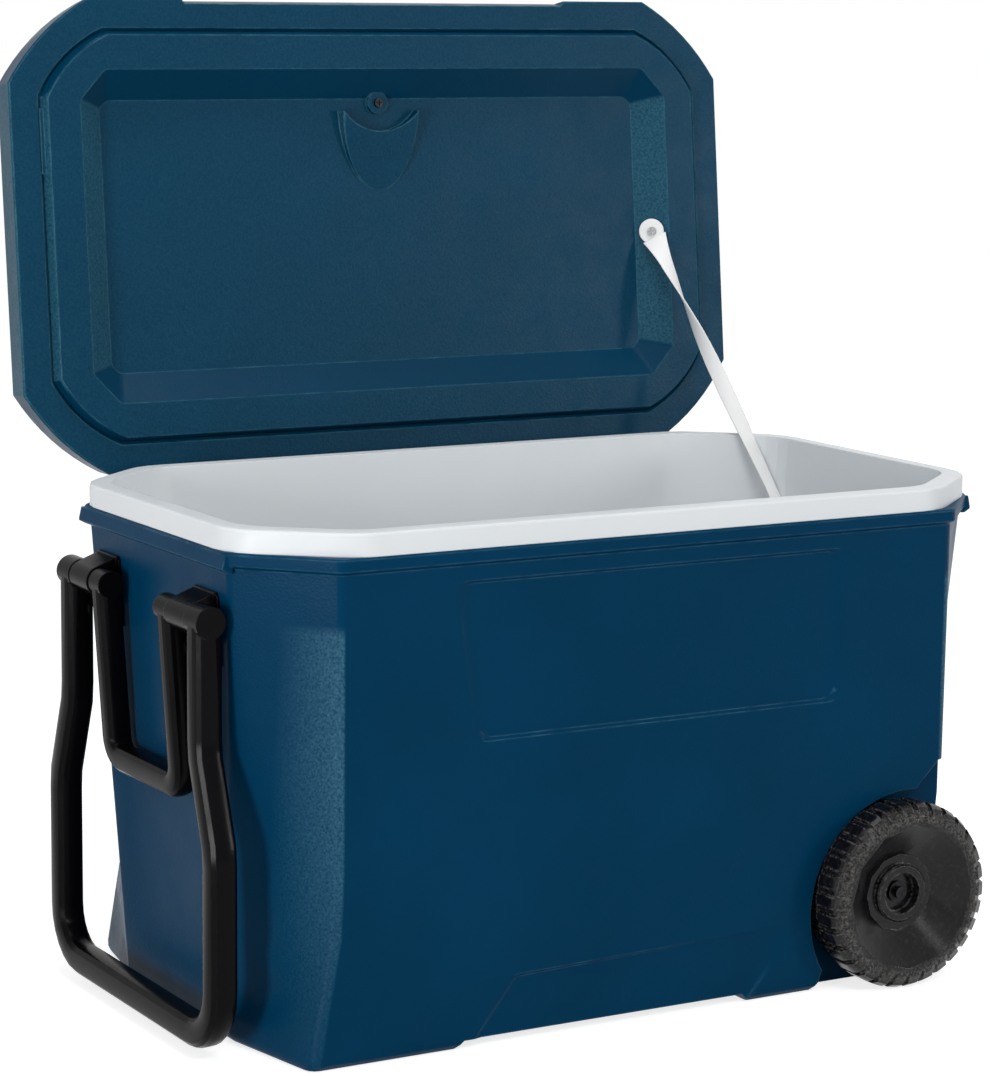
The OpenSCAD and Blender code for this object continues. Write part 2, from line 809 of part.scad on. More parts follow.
module lid_inner_panel() {
    color(blue) open_lid() difference() {
        union() {
            difference() {
                union() {
                    difference() {
                        plug(0);
                        plug(panel_wall);
                    }
                    pan(panel_wall, 0);
                }
                pan(0, 1);
            }
            pan_boss();
            seam_tab();
        }
        at_boss_screw() screw_hole(boss_screw_length + 1);
        at_strap_head() screw_hole(panel_wall + 1);
    }
}

module lid_foam() {
    color(foam_colour) open_lid() difference() {
        union() {
            lid_room();
            plug(panel_wall);
        }
        pan(panel_wall, 1);
    }
}

// The screw in its ring, its head facing down out of the closed lid
module at_boss_screw() {
    translate([0, boss_screw_y, pan_floor_z - boss_ring_height]) rotate([180, 0, 0]) children();
}

module lid_boss_screw() {
    color(steel) open_lid() at_boss_screw() translate([0, 0, seat_gap]) screw(boss_screw_length);
}

// ---------------------------------------------------------------- hinges

module hinge_bore(gap) {
    translate([-hinge_length, hinge_y, hinge_z]) rotate([0, 90, 0])
        cylinder(r = hinge_pin_radius + gap, h = 2 * hinge_length);
}

module hinge_knuckle(half_length) {
    translate([-half_length, hinge_y, hinge_z]) rotate([0, 90, 0])
        cylinder(r = knuckle_radius, h = 2 * half_length);
}

// A length of the hinge along X, cut from a profile in Y and Z
module hinge_slab(half_length) {
    translate([-half_length, 0, 0]) rotate([90, 0, 90]) linear_extrude(2 * half_length) children();
}

knuckle_split = hinge_length / 4;

// The lid's knuckle turns between the two knuckles of the chest's leaf
module knuckle_gap(spare) {
    translate([-knuckle_split - spare, hinge_y - 2 * knuckle_radius, hinge_z - 2 * knuckle_radius])
        cube([2 * (knuckle_split + spare), 4 * knuckle_radius, 4 * knuckle_radius]);
}

leaf_top = lip_bottom - 1;
leaf_bottom = lip_bottom - hinge_leaf_drop;

module body_hinge_leaves() {
    wall_top = wall_half(leaf_top).y + seat_gap;
    wall_low = wall_half(leaf_bottom).y + seat_gap;
    color(black) at_hinges() difference() {
        union() {
            hinge_slab(hinge_length / 2) polygon([
                [wall_low, leaf_bottom], [wall_top, leaf_top],
                [wall_top + hinge_leaf * 0.4, leaf_top], [wall_top + hinge_leaf, leaf_top - 3],
                [wall_low + hinge_leaf, leaf_bottom + 3], [wall_low + hinge_leaf - 2, leaf_bottom]
            ]);
            difference() {
                union() {
                    hinge_slab(hinge_length / 2) polygon([
                        [wall_top + 1, leaf_top - 9], [hinge_y - knuckle_radius + 1, hinge_z - 3],
                        [hinge_y, hinge_z - knuckle_radius], [wall_top + hinge_leaf, leaf_top - 18]
                    ]);
                    hinge_knuckle(hinge_length / 2);
                }
                knuckle_gap(side_play / 2);
            }
        }
        hinge_bore(running_gap);
        at_body_hinge_screws() screw_hole(hinge_leaf + 2);
    }
}

module lid_hinge_leaves() {
    wall_low = lid_wall_y(lid_rim_z + 4) + seat_gap;
    wall_high = lid_wall_y(lid_rim_z + lid_leaf_rise) + seat_gap;
    color(black) open_lid() at_hinges() difference() {
        union() {
            hinge_slab(hinge_length / 2) polygon([
                [wall_low, lid_rim_z + 4], [wall_low + hinge_leaf - 1, lid_rim_z + 4],
                [wall_high + hinge_leaf - 1, lid_rim_z + lid_leaf_rise - 2],
                [wall_high + hinge_leaf - 3, lid_rim_z + lid_leaf_rise], [wall_high, lid_rim_z + lid_leaf_rise]
            ]);
            hinge_slab(knuckle_split - side_play / 2) polygon([
                [wall_low, lid_rim_z + 4], [hinge_y - knuckle_radius, hinge_z],
                [hinge_y + knuckle_radius, hinge_z], [wall_low + hinge_leaf - 1, lid_rim_z + 10]
            ]);
            hinge_knuckle(knuckle_split - side_play / 2);
        }
        hinge_bore(running_gap);
        at_lid_hinge_screws() screw_hole(hinge_leaf + 2);
    }
}

module hinge_pins() {
    color(steel) at_hinges() translate([-hinge_length / 2 - 1, hinge_y, hinge_z]) rotate([0, 90, 0])
        cylinder(r = hinge_pin_radius, h = hinge_length + 2);
}

// Each screw sits on its leaf with its shank along the wall's normal
module at_body_hinge_screws() {
    z = leaf_bottom + hinge_leaf_drop * 0.3;
    for (side = [-1, 1])
        translate([side * hinge_screw_offset, wall_half(z).y + seat_gap, z]) rotate([-90 - face_lean, 0, 0])
            children();
}

function lid_wall_y(z) = lid_half.y - lid_draft * 0.6 * (z - lid_rim_z) / (lid_height - lid_top_radius);
lid_lean = atan(lid_draft * 0.6 / (lid_height - lid_top_radius));

module at_lid_hinge_screws() {
    z = lid_rim_z + lid_leaf_rise * 0.6;
    for (side = [-1, 1])
        translate([side * hinge_screw_offset, lid_wall_y(z) + seat_gap, z]) rotate([-90 + lid_lean, 0, 0])
            children();
}

module body_hinge_screws() {
    color(steel) at_hinges() at_body_hinge_screws() translate([0, 0, hinge_leaf + seat_gap])
        screw(hinge_leaf + screw_bite);
}

module lid_hinge_screws() {
    color(steel) open_lid() at_hinges() at_lid_hinge_screws() translate([0, 0, hinge_leaf - 1 + seat_gap])
        screw(hinge_leaf - 1 + screw_bite);
}

// ---------------------------------------------------------------- strap

// On the pan's sloping wall at the wheel end, with +Z away from the wall
head_tilt = 180 - atan(pan_depth / pan_slope);
module at_strap_head() {
    translate([strap_head_x, strap_head_back, strap_head_z]) rotate([0, head_tilt, 180]) children();
}

// On the liner's wheel-end wall, with +Z away from the wall
foot_tilt = 90 - atan(liner_end_draft / floor_depth);
module at_strap_foot() {
    translate([liner_half(strap_foot_height).x, strap_foot_back, strap_foot_height])
        rotate([0, foot_tilt, 180]) children();
}

function turn_open(v) = [
    v.x,
    v.y * cos(lid_open_angle) + v.z * sin(lid_open_angle),
    -v.y * sin(lid_open_angle) + v.z * cos(lid_open_angle)
];
function place_open(p) = turn_open(p - [0, hinge_y, hinge_z]) + [0, hinge_y, hinge_z];

strap_lift = 2 * joint_gap + strap_thickness / 2;
head_normal = turn_open([-sin(head_tilt), 0, cos(head_tilt)]);
foot_normal = [-sin(foot_tilt), 0, cos(foot_tilt)];
strap_head = place_open([strap_head_x, strap_head_back, strap_head_z]) + strap_lift * head_normal;
strap_foot = [liner_half(strap_foot_height).x, strap_foot_back, strap_foot_height] + strap_lift * foot_normal;
strap_way = unit(strap_foot - strap_head);

// The band's cross-section turns from one wall's plane to the other's on the way
function strap_ring(t) =
    let (
        across = unit(cross(strap_way, head_normal) * (1 - t) + cross(strap_way, foot_normal) * t),
        face = cross(strap_way, across),
        centre = strap_head + (strap_foot - strap_head) * t
    )
    [for (corner = [[-1, -1], [1, -1], [1, 1], [-1, 1]])
        centre + across * corner.x * strap_width / 2 + face * corner.y * strap_thickness / 2];

module strap_eye() {
    translate([0, 0, 2 * joint_gap]) cylinder(r = strap_eye_radius, h = strap_thickness);
}

module lid_strap() {
    color(white) difference() {
        union() {
            open_lid() at_strap_head() strap_eye();
            at_strap_foot() strap_eye();
            loft([for (i = [0:strap_steps]) strap_ring(i / strap_steps)]);
        }
        open_lid() at_strap_head() cylinder(r = screw_shank_radius + joint_gap, h = 6 * strap_thickness, center = true);
        at_strap_foot() cylinder(r = screw_shank_radius + joint_gap, h = 6 * strap_thickness, center = true);
    }
}

module strap_screw_lid() {
    color(steel) open_lid() at_strap_head() translate([0, 0, strap_thickness + 3 * joint_gap + 1])
        screw(strap_thickness + panel_wall);
}

module strap_screw_body() {
    color(steel) at_strap_foot() translate([0, 0, strap_thickness + 3 * joint_gap + 1])
        screw(strap_thickness + liner_wall);
}

// ---------------------------------------------------------------- handles

// A bar's cross-section: a rounded square, across the bar and through it
function bar_section(thickness) = rounded(
    [for (c = [[-1, -1], [1, -1], [1, 1], [-1, 1]]) c * thickness / 2], thickness * 0.36, 3);

// A bail hanging from the pivots: a bar swept along half a path and its mirror image
// Each point of the path lies in Y and Z; its bend turns halfway between its neighbours
// With hang the bail slants towards the chest by that angle
module bail(path, thickness, hang = 0) {
    n = len(path);
    section = bar_section(thickness);
    loft([for (i = [0:n - 1])
        let (
            back = i > 0 ? unit(path[i] - path[i - 1]) : unit(path[1] - path[0]),
            ahead = i < n - 1 ? unit(path[i + 1] - path[i]) : back,
            mean = unit(back + ahead),
            side = [-mean.y, mean.x] / (back * mean)
        )
        [for (s = section)
            let (y = path[i].x + side.x * s.x, z = path[i].y + side.y * s.x)
            [pivot_x + s.y + (pivot_height - z) * tan(hang), y, z]]
    ]);
}

function mirrored(path) = concat(path, [for (i = [len(path) - 1:-1:0]) [-path[i].x, path[i].y]]);

// The stretch of a path that goes down an arm and around the corner into the grip
function bail_corner(half, grip_z, radius) =
    [for (a = [0:15:90]) [half - radius + radius * cos(a), grip_z + radius - radius * sin(a)]];

module bail_eye(arm_half, thickness) {
    for (side = [0, 1]) mirror([0, side, 0])
        translate([pivot_x, arm_half + thickness / 2, pivot_height]) rotate([90, 0, 0])
            cylinder(r = thickness / 2 + 0.5, h = thickness);
}

// Blind holes from the bracket's side, so that the pins don't show
module bail_bores(arm_half, thickness, outward) {
    depth = thickness - knuckle_skin;
    near = outward > 0 ? arm_half - thickness / 2 : arm_half + thickness / 2 - depth;
    for (side = [0, 1]) mirror([0, side, 0])
        translate([pivot_x, near - (outward > 0 ? 1 : 0), pivot_height]) rotate([-90, 0, 0])
            cylinder(r = handle_pin_radius + running_gap, h = depth + 1);
}

module tow_handle() {
    path = concat(
        [[tow_arm_half, pivot_height], [tow_arm_half, tow_bend_top + tow_bend_round],
         [tow_arm_half + 1.5, tow_bend_top - tow_bend_round],
         [tow_grip_half - 1.5, tow_bend_bottom + tow_bend_round],
         [tow_grip_half, tow_bend_bottom - tow_bend_round]],
        bail_corner(tow_grip_half, tow_grip_height, tow_corner)
    );
    color(black) difference() {
        union() {
            bail(mirrored(path), tow_thickness);
            bail_eye(tow_arm_half, tow_thickness);
        }
        bail_bores(tow_arm_half, tow_thickness, 1);
    }
}

module carry_handle() {
    path = concat(
        [[carry_arm_half, pivot_height]],
        bail_corner(carry_arm_half, pivot_height - carry_drop, carry_corner)
    );
    color(black) difference() {
        union() {
            bail(mirrored(path), carry_thickness, carry_hang);
            bail_eye(carry_arm_half, carry_thickness);
        }
        bail_bores(carry_arm_half, carry_thickness, -1);
    }
}

end_lean = atan(end_draft / body_height);

// On the handle end's wall at the pivots' height, with +Z out of the wall and +Y along the chest's Y
module at_bracket(side) {
    translate([-wall_half(pivot_height).x, side * bracket_half, pivot_height])
        rotate([0, -90 - end_lean, 0]) children();
}

// A bracket: a plate on the wall that rises into the block between the two handles' arms
module handle_bracket(side) {
    color(black) difference() {
        union() {
            at_bracket(side) hull() {
                translate([-bracket_drop, -bracket_width / 2 - bracket_flare, seat_gap])
                    cube([bracket_drop + bracket_rise - 4, bracket_width + 2 * bracket_flare, bracket_plate - 1]);
                translate([-bracket_drop + 3, -bracket_width / 2 - bracket_flare + 3, seat_gap])
                    cube([bracket_drop + bracket_rise - 4, bracket_width + 2 * bracket_flare - 6, bracket_plate]);
            }
            intersection() {
                hull() {
                    translate([pivot_x, side * bracket_half + bracket_width / 2, pivot_height]) rotate([90, 0, 0])
                        cylinder(r = bracket_nose, h = bracket_width, $fn = 32);
                    at_bracket(side) translate([-bracket_drop + 14, -bracket_width / 2, seat_gap])
                        cube([bracket_drop + bracket_rise - 16, bracket_width, bracket_plate]);
                }
                at_bracket(side) translate([-body_height, -body_depth, seat_gap])
                    cube([2 * body_height, 2 * body_depth, body_length]);
            }
        }
        translate([pivot_x, side * bracket_half + bracket_width, pivot_height]) rotate([90, 0, 0])
            cylinder(r = handle_pin_radius + running_gap, h = 2 * bracket_width);
        at_bracket_screws() screw_hole(bracket_plate + 2);
    }
}

module handle_bracket_front() { handle_bracket(-1); }
module handle_bracket_back() { handle_bracket(1); }

module at_bracket_screws() {
    for (side = [-1, 1], across = [-1, 1])
        at_bracket(side) translate([-bracket_drop + 7, across * bracket_width / 3, seat_gap]) children();
}

module bracket_screws() {
    color(steel) at_bracket_screws() translate([0, 0, bracket_plate + seat_gap]) screw(bracket_plate + screw_bite);
}

module handle_pins() {
    inner_end = carry_arm_half - carry_thickness / 2 + knuckle_skin + 1;
    outer_end = tow_arm_half + tow_thickness / 2 - knuckle_skin - 1;
    color(steel) for (side = [0, 1]) mirror([0, side, 0])
        translate([pivot_x, inner_end, pivot_height]) rotate([-90, 0, 0])
            cylinder(r = handle_pin_radius, h = outer_end - inner_end);
}

// ---------------------------------------------------------------- wheels

hub_face = wheel_width - dish_depth + hub_rise;
inner_row_top = wheel_width - outer_row_width;

// Half of the tyre's section, or with depth the core under its tread blocks
function tyre_section(depth) = let (r = wheel_radius - depth, inner = r - inner_row_drop) [
    [0, 0], [inner - 6, 0], [inner, 5], [inner, inner_row_top - 2], [r, inner_row_top],
    [r, wheel_width - tyre_shoulder], [r - tyre_shoulder * 0.3, wheel_width - tyre_shoulder * 0.4],
    [r - tyre_shoulder, wheel_width], [0, wheel_width]
];

// A wheel lies with its inner face on Z = 0 and its dish facing up
module wheel() {
    difference() {
        union() {
            rotate_extrude() polygon(tyre_section(tread_height));
            tread_row(0, inner_row_top - tread_groove / 2, 0);
            tread_row(inner_row_top + tread_groove / 2, wheel_width, 0.5);
        }
        wheel_dish();
        translate([0, 0, -1]) cylinder(r = axle_radius + running_gap, h = wheel_width + 2);
        translate([0, 0, hub_face - hub_recess_depth]) cylinder(r = hub_recess_radius, h = 2 * hub_recess_depth);
        translate([0, 0, -tiny]) difference() {
            cylinder(r = wheel_radius - tread_height - 16, h = 10);
            translate([0, 0, -1]) cylinder(r = hub_radius, h = 12);
        }
    }
}

// The dish between the hub and the rim, with a flat for each facet
module wheel_dish() {
    translate([0, 0, wheel_width - dish_depth]) difference() {
        cylinder(r1 = hub_radius + 8, r2 = dish_radius, h = dish_depth + tiny, $fn = dish_flats);
        rotate_extrude() polygon([
            [0, -1], [hub_radius, -1], [hub_radius, hub_rise - 1.5], [hub_radius - 1.5, hub_rise], [0, hub_rise]
        ]);
    }
}

// A row of tread blocks that ends on the tyre's shoulder; shift turns it by a part of one block
module tread_row(low, high, shift) {
    pitch = 360 / tread_blocks;
    foot = wheel_radius - tread_height - tyre_shoulder - inner_row_drop;
    intersection() {
        translate([0, 0, low]) linear_extrude(high - low) polygon([
            for (i = [0:tread_blocks - 1], corner = [[0, foot], [0, wheel_radius], [0.66, wheel_radius], [0.66, foot]])
                let (a = pitch * (i + shift + corner[0]))
                (corner[1] / cos(pitch / 3)) * [cos(a), sin(a)]
        ]);
        rotate_extrude() polygon(tyre_section(0));
    }
}

module wheel_front() {
    color(black) translate([axle_x, -wheel_inner_y, axle_height]) rotate([90, 0, 0]) wheel();
}

module wheel_back() {
    color(black) translate([axle_x, wheel_inner_y, axle_height]) rotate([-90, 0, 0]) wheel();
}

// Along Y through both wheels, centred on the chest
module along_axle(half_length) {
    translate([axle_x, half_length, axle_height]) rotate([90, 0, 0]) children();
}

module axle() {
    color(steel) along_axle(axle_half) cylinder(r = axle_radius, h = 2 * axle_half);
}

module axle_sleeve() {
    half = well_inner_y - seat_gap;
    color(black) along_axle(half) difference() {
        cylinder(r = sleeve_radius, h = 2 * half);
        translate([0, 0, -1]) cylinder(r = axle_radius + running_gap, h = 2 * half + 2);
    }
}

module axle_disc(radius, thickness) {
    difference() {
        cylinder(r = radius, h = thickness);
        translate([0, 0, -1]) cylinder(r = axle_radius + running_gap, h = thickness + 2);
    }
}

module wheel_washers() {
    color(steel) for (side = [0, 1]) mirror([0, side, 0])
        along_axle(wheel_inner_y - joint_gap) axle_disc(washer_radius, washer_thickness);
}

// Push nuts hold the wheels on, in the recesses of their hubs
module axle_push_nuts() {
    seat_y = wheel_inner_y + hub_face - hub_recess_depth + joint_gap;
    color(steel) for (side = [0, 1]) mirror([0, side, 0])
        along_axle(seat_y + push_nut_thickness) axle_disc(push_nut_radius, push_nut_thickness);
}

// ---------------------------------------------------------------- drain

// On the back wall, with +Z out of the wall
module at_drain() {
    translate([-drain_x, wall_half(drain_height).y, drain_height]) rotate([-90 - face_lean, 0, 0]) children();
}

drain_inside = wall_half(drain_height).y - liner_half(drain_height).y + 2;
drain_seat = drain_gasket_thickness + 2 * seat_gap;

module drain_spout() {
    tail = drain_inside + drain_nut_thickness + 3;
    color(black) at_drain() difference() {
        union() {
            translate([0, 0, -tail]) cylinder(r = drain_outer, h = tail + drain_reach);
            translate([0, 0, drain_seat]) cylinder(r = drain_flange_radius, h = drain_flange);
        }
        translate([0, 0, -tail - 1]) cylinder(r = drain_bore, h = tail + drain_reach + 2);
    }
}

module drain_gasket() {
    color("#3a3a3c") at_drain() translate([0, 0, seat_gap]) difference() {
        cylinder(r = drain_flange_radius - 1, h = drain_gasket_thickness);
        translate([0, 0, -1]) cylinder(r = drain_outer + running_gap, h = drain_gasket_thickness + 2);
    }
}

module drain_nut() {
    color(white) at_drain() translate([0, 0, -drain_inside - drain_nut_thickness - seat_gap]) difference() {
        cylinder(r = drain_nut_radius, h = drain_nut_thickness, $fn = 6);
        translate([0, 0, -1]) cylinder(r = drain_outer + running_gap, h = drain_nut_thickness + 2, $fn = 64);
    }
}

module drain_cap() {
    start = drain_seat + drain_flange + joint_gap;
    finish = drain_reach + joint_gap + drain_cap_wall;
    color(black) at_drain() difference() {
        union() {
            translate([0, 0, start]) cylinder(r = drain_cap_radius - 1, h = finish - start);
            for (i = [0:11]) rotate(i * 30) translate([drain_cap_radius - 2, 0, start])
                cylinder(r = 2, h = finish - start - 1, $fn = 16);
        }
        translate([0, 0, start - 1]) cylinder(r = drain_outer + running_gap, h = finish - start + 1 - drain_cap_wall);
    }
}

outer_shell();
body_foam();
inner_liner();
lid_shell();
lid_foam();
lid_inner_panel();
lid_boss_screw();
body_hinge_leaves();
lid_hinge_leaves();
hinge_pins();
body_hinge_screws();
lid_hinge_screws();
lid_strap();
strap_screw_lid();
strap_screw_body();
tow_handle();
carry_handle();
handle_bracket_front();
handle_bracket_back();
handle_pins();
bracket_screws();
wheel_front();
wheel_back();
axle();
axle_sleeve();
wheel_washers();
axle_push_nuts();
drain_spout();
drain_gasket();
drain_nut();
drain_cap();
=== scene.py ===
"""Wheeled cooler: finishes, softened edges, strap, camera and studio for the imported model."""

import json
import math

import bmesh
import bpy
from mathutils import Matrix, Vector

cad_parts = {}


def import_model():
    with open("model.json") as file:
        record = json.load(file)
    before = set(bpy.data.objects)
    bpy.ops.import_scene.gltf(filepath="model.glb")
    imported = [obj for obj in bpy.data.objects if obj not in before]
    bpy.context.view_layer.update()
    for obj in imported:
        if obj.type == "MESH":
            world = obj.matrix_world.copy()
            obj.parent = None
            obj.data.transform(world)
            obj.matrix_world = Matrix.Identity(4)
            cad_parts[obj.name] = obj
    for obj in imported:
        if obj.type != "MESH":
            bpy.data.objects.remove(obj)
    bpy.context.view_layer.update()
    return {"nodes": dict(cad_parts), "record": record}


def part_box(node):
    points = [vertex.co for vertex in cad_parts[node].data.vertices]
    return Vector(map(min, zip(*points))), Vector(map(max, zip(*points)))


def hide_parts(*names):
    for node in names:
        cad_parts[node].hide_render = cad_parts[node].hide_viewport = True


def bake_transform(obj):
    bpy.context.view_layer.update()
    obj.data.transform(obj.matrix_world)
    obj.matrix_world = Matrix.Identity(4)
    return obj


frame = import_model()

MM = 0.001

# ---------------------------------------------------------------- materials


def srgb(red, green, blue):
    """A colour given in the usual 0 to 255 values, as the shader's linear values."""

    def linear(value):
        value /= 255.0
        return value / 12.92 if value <= 0.04045 else ((value + 0.055) / 1.055) ** 2.4

    return (linear(red), linear(green), linear(blue), 1.0)


def darker(colour, share):
    """colour with share of its light left."""
    return tuple(share * channel for channel in colour[:3]) + (1.0,)


class Finish:
    """A principled material built up from named node steps."""

    def __init__(self, name):
        self.material = bpy.data.materials.new(name)
        self.material.use_nodes = True
        self.tree = self.material.node_tree
        self.tree.nodes.clear()
        self.output = self.tree.nodes.new("ShaderNodeOutputMaterial")
        self.shader = self.tree.nodes.new("ShaderNodeBsdfPrincipled")
        self.link(self.shader.outputs["BSDF"], self.output.inputs["Surface"])
        own = self.tree.nodes.new("ShaderNodeTexCoord").outputs
        self.place = own["Object"]
        self.facing = own["Normal"]

    def link(self, output, socket):
        """Feed a step's output into a socket."""
        self.tree.links.new(output, socket)

    def noise(self, scale, detail=3.0, roughness=0.5):
        """Noise with about scale bumps a metre."""
        node = self.tree.nodes.new("ShaderNodeTexNoise")
        node.inputs["Scale"].default_value = scale
        node.inputs["Detail"].default_value = detail
        node.inputs["Roughness"].default_value = roughness
        self.link(self.place, node.inputs["Vector"])
        return node.outputs["Fac"]

    def cells(self, scale):
        """Distance to the nearest of about scale cell centres a metre."""
        node = self.tree.nodes.new("ShaderNodeTexVoronoi")
        node.inputs["Scale"].default_value = scale
        self.link(self.place, node.inputs["Vector"])
        return node.outputs["Distance"]

    def spread(self, value, low, high, to_low=0.0, to_high=1.0):
        """value from low to high becomes to_low to to_high, held at both ends."""
        node = self.tree.nodes.new("ShaderNodeMapRange")
        node.inputs["From Min"].default_value = low
        node.inputs["From Max"].default_value = high
        node.inputs["To Min"].default_value = to_low
        node.inputs["To Max"].default_value = to_high
        self.link(value, node.inputs["Value"])
        return node.outputs["Result"]

    def math(self, operation, first, second=0.0):
        """first and second put together by a math operation; each is a number or a step."""
        node = self.tree.nodes.new("ShaderNodeMath")
        node.operation = operation
        for socket, value in zip(node.inputs, (first, second)):
            if isinstance(value, float):
                socket.default_value = value
            else:
                self.link(value, socket)
        return node.outputs["Value"]

    def times(self, *factors):
        """The product of steps and numbers."""
        product = factors[0]
        for factor in factors[1:]:
            product = self.math("MULTIPLY", product, factor)
        return product

    def parts(self, vector):
        """The X, Y and Z of a vector."""
        node = self.tree.nodes.new("ShaderNodeSeparateXYZ")
        self.link(vector, node.inputs["Vector"])
        return node.outputs["X"], node.outputs["Y"], node.outputs["Z"]

    def mix(self, factor, first, second):
        """A colour between first and second; each is a colour or another step."""
        node = self.tree.nodes.new("ShaderNodeMix")
        node.data_type = "RGBA"
        self.link(factor, node.inputs["Factor"])
        for name, value in (("A", first), ("B", second)):
            socket = [s for s in node.inputs if s.name == name and s.type == "RGBA"][0]
            if isinstance(value, tuple):
                socket.default_value = value
            else:
                self.link(value, socket)
        return [s for s in node.outputs if s.type == "RGBA"][0]

    def edges(self, radius):
        """1 along sharp edges, falling to 0 on flat faces."""
        geometry = self.tree.nodes.new("ShaderNodeNewGeometry")
        dot = self.tree.nodes.new("ShaderNodeVectorMath")
        dot.operation = "DOT_PRODUCT"
        self.link(self.rounding(radius), dot.inputs[0])
        self.link(geometry.outputs["Normal"], dot.inputs[1])
        # Cosines of the turn at which an edge starts to count and at which it counts in full
        return self.spread(dot.outputs["Value"], 0.995, 0.9)

    def rounding(self, radius):
        """The surface's normal, rounded over by radius along its edges."""
        bevel = self.tree.nodes.new("ShaderNodeBevel")
        bevel.samples = 6
        bevel.inputs["Radius"].default_value = radius
        return bevel.outputs["Normal"]

    def bump(self, height, distance, strength, under):
        """The normal under, tilted by height; distance is how far a height of 1 stands out."""
        node = self.tree.nodes.new("ShaderNodeBump")
        node.inputs["Distance"].default_value = distance
        node.inputs["Strength"].default_value = strength
        self.link(height, node.inputs["Height"])
        self.link(under, node.inputs["Normal"])
        return node.outputs["Normal"]

    def patches(self, scale, low, high, to_low=0.0, to_high=1.0, detail=5.0, roughness=0.6):
        """Noise in patches: below low it is to_low, above high it is to_high."""
        return self.spread(self.noise(scale, detail, roughness), low, high, to_low, to_high)

    def set(self, name, value):
        """A value for one of the shader's sockets, or a step linked into it."""
        socket = self.shader.inputs[name]
        if isinstance(value, (int, float, tuple)):
            socket.default_value = value
        else:
            self.link(value, socket)


def corner_painted_highlight(finish):
    """Painted highlight on the chest's corner faces, near the long sides and below the lip, stronger
    upward.

    It stands for lamp light, and is painted alike on all four corners. A guess: the photo shows such
    a patch on one corner, and it may be lamp light rather than wear.
    """
    _, (half_length, _, height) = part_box("outer_shell")
    normal_x, normal_y, _ = finish.parts(finish.facing)
    slanting = finish.spread(finish.math("ABSOLUTE", finish.times(normal_x, normal_y)), 0.15, 0.3)
    x, _, z = finish.parts(finish.place)
    near_side = finish.spread(finish.math("ABSOLUTE", x), 0.90 * half_length, 0.77 * half_length)
    below_the_lip = finish.spread(z, 0.87 * height, 0.85 * height)
    stronger_upward = finish.spread(z, 0.1 * height, 0.6 * height, 0.35, 1.0)
    return finish.times(slanting, near_side, below_the_lip, stronger_upward)


def lid_painted_sheen(finish):
    """Painted sheen on the lid, faint on its flat faces and stronger on the pan's end walls.

    The walls along the pan's long sides face up or down while the lid is open, get no painted sheen and
    stay deep blue.
    A guess too: in the photo the lid is palest at one end, which may be lamp light rather than haze.
    """
    normal_x, _, normal_z = finish.parts(finish.facing)
    upright = finish.spread(finish.math("ABSOLUTE", normal_z), 0.35, 0.15)
    endward = finish.spread(finish.math("ABSOLUTE", normal_x), 0.05, 0.5, 0.1, 0.42)
    return finish.times(upright, endward)


def pebbled_blue(name, colour, pale_tone, specular, painted_sheen_mask):
    """Moulded blue plastic with a fine pebble grain, paler along its edges, partly from wear and partly
    as a painted highlight, and with a painted sheen where the given mask marks.
    """
    finish = Finish(name)
    drift = finish.patches(9.0, 0.3, 0.7, detail=4.0, roughness=0.5)
    body = finish.mix(drift, darker(colour, 0.86), colour)
    grain = finish.spread(finish.cells(480.0), 0.0, 0.75)
    # Painted highlight and sheen: the pale tone laid on in speckled patches where the given mask marks.
    painted_sheen_patches = finish.times(
        painted_sheen_mask(finish), finish.patches(520.0, 0.3, 0.7, 0.1, 0.62, detail=3.0, roughness=0.5)
    )
    body = finish.mix(painted_sheen_patches, body, pale_tone)
    # Paler edges: partly wear, and partly a painted highlight along the edges.
    scuffs = finish.times(finish.edges(2.2 * MM), finish.patches(60.0, 0.35, 0.7, 0.08, 0.6))
    finish.set("Base Color", finish.mix(scuffs, body, pale_tone))
    finish.set("Roughness", finish.patches(34.0, 0.3, 0.7, 0.3, 0.4))
    finish.set("Specular IOR Level", specular)
    pebble = finish.bump(grain, 0.16 * MM, 0.5, finish.rounding(2.0 * MM))
    finish.set("Normal", finish.bump(finish.noise(5.0, 2.0), 1.2 * MM, 0.3, pebble))
    return finish.material


def smooth_white(name, colour):
    """Satin white plastic with faint waviness and a little grime."""
    finish = Finish(name)
    grime = finish.patches(5.0, 0.35, 0.85, detail=4.0, roughness=0.5)
    finish.set("Base Color", finish.mix(grime, colour, darker(colour, 0.95)))
    finish.set("Roughness", finish.patches(40.0, 0.3, 0.7, 0.38, 0.5, roughness=0.5))
    finish.set("Specular IOR Level", 0.3)
    finish.set("Normal", finish.bump(finish.noise(6.0, 2.0), 0.5 * MM, 0.15, finish.rounding(1.5 * MM)))
    return finish.material


def satin_black(name, colour, rough_low, rough_high, pale_tone):
    """Black moulded plastic with a soft sheen and rubbed edges."""
    finish = Finish(name)
    scuffs = finish.times(finish.edges(1.2 * MM), finish.patches(120.0, 0.4, 0.75, roughness=0.65), 0.5)
    finish.set("Base Color", finish.mix(scuffs, colour, pale_tone))
    finish.set("Roughness", finish.patches(45.0, 0.3, 0.7, rough_low, rough_high, detail=6.0))
    finish.set("Specular IOR Level", 0.05)
    grain = finish.bump(finish.noise(900.0, 2.0), 0.05 * MM, 0.5, finish.rounding(1.2 * MM))
    finish.set("Normal", finish.bump(finish.noise(30.0, 2.0), 0.4 * MM, 0.3, grain))
    return finish.material


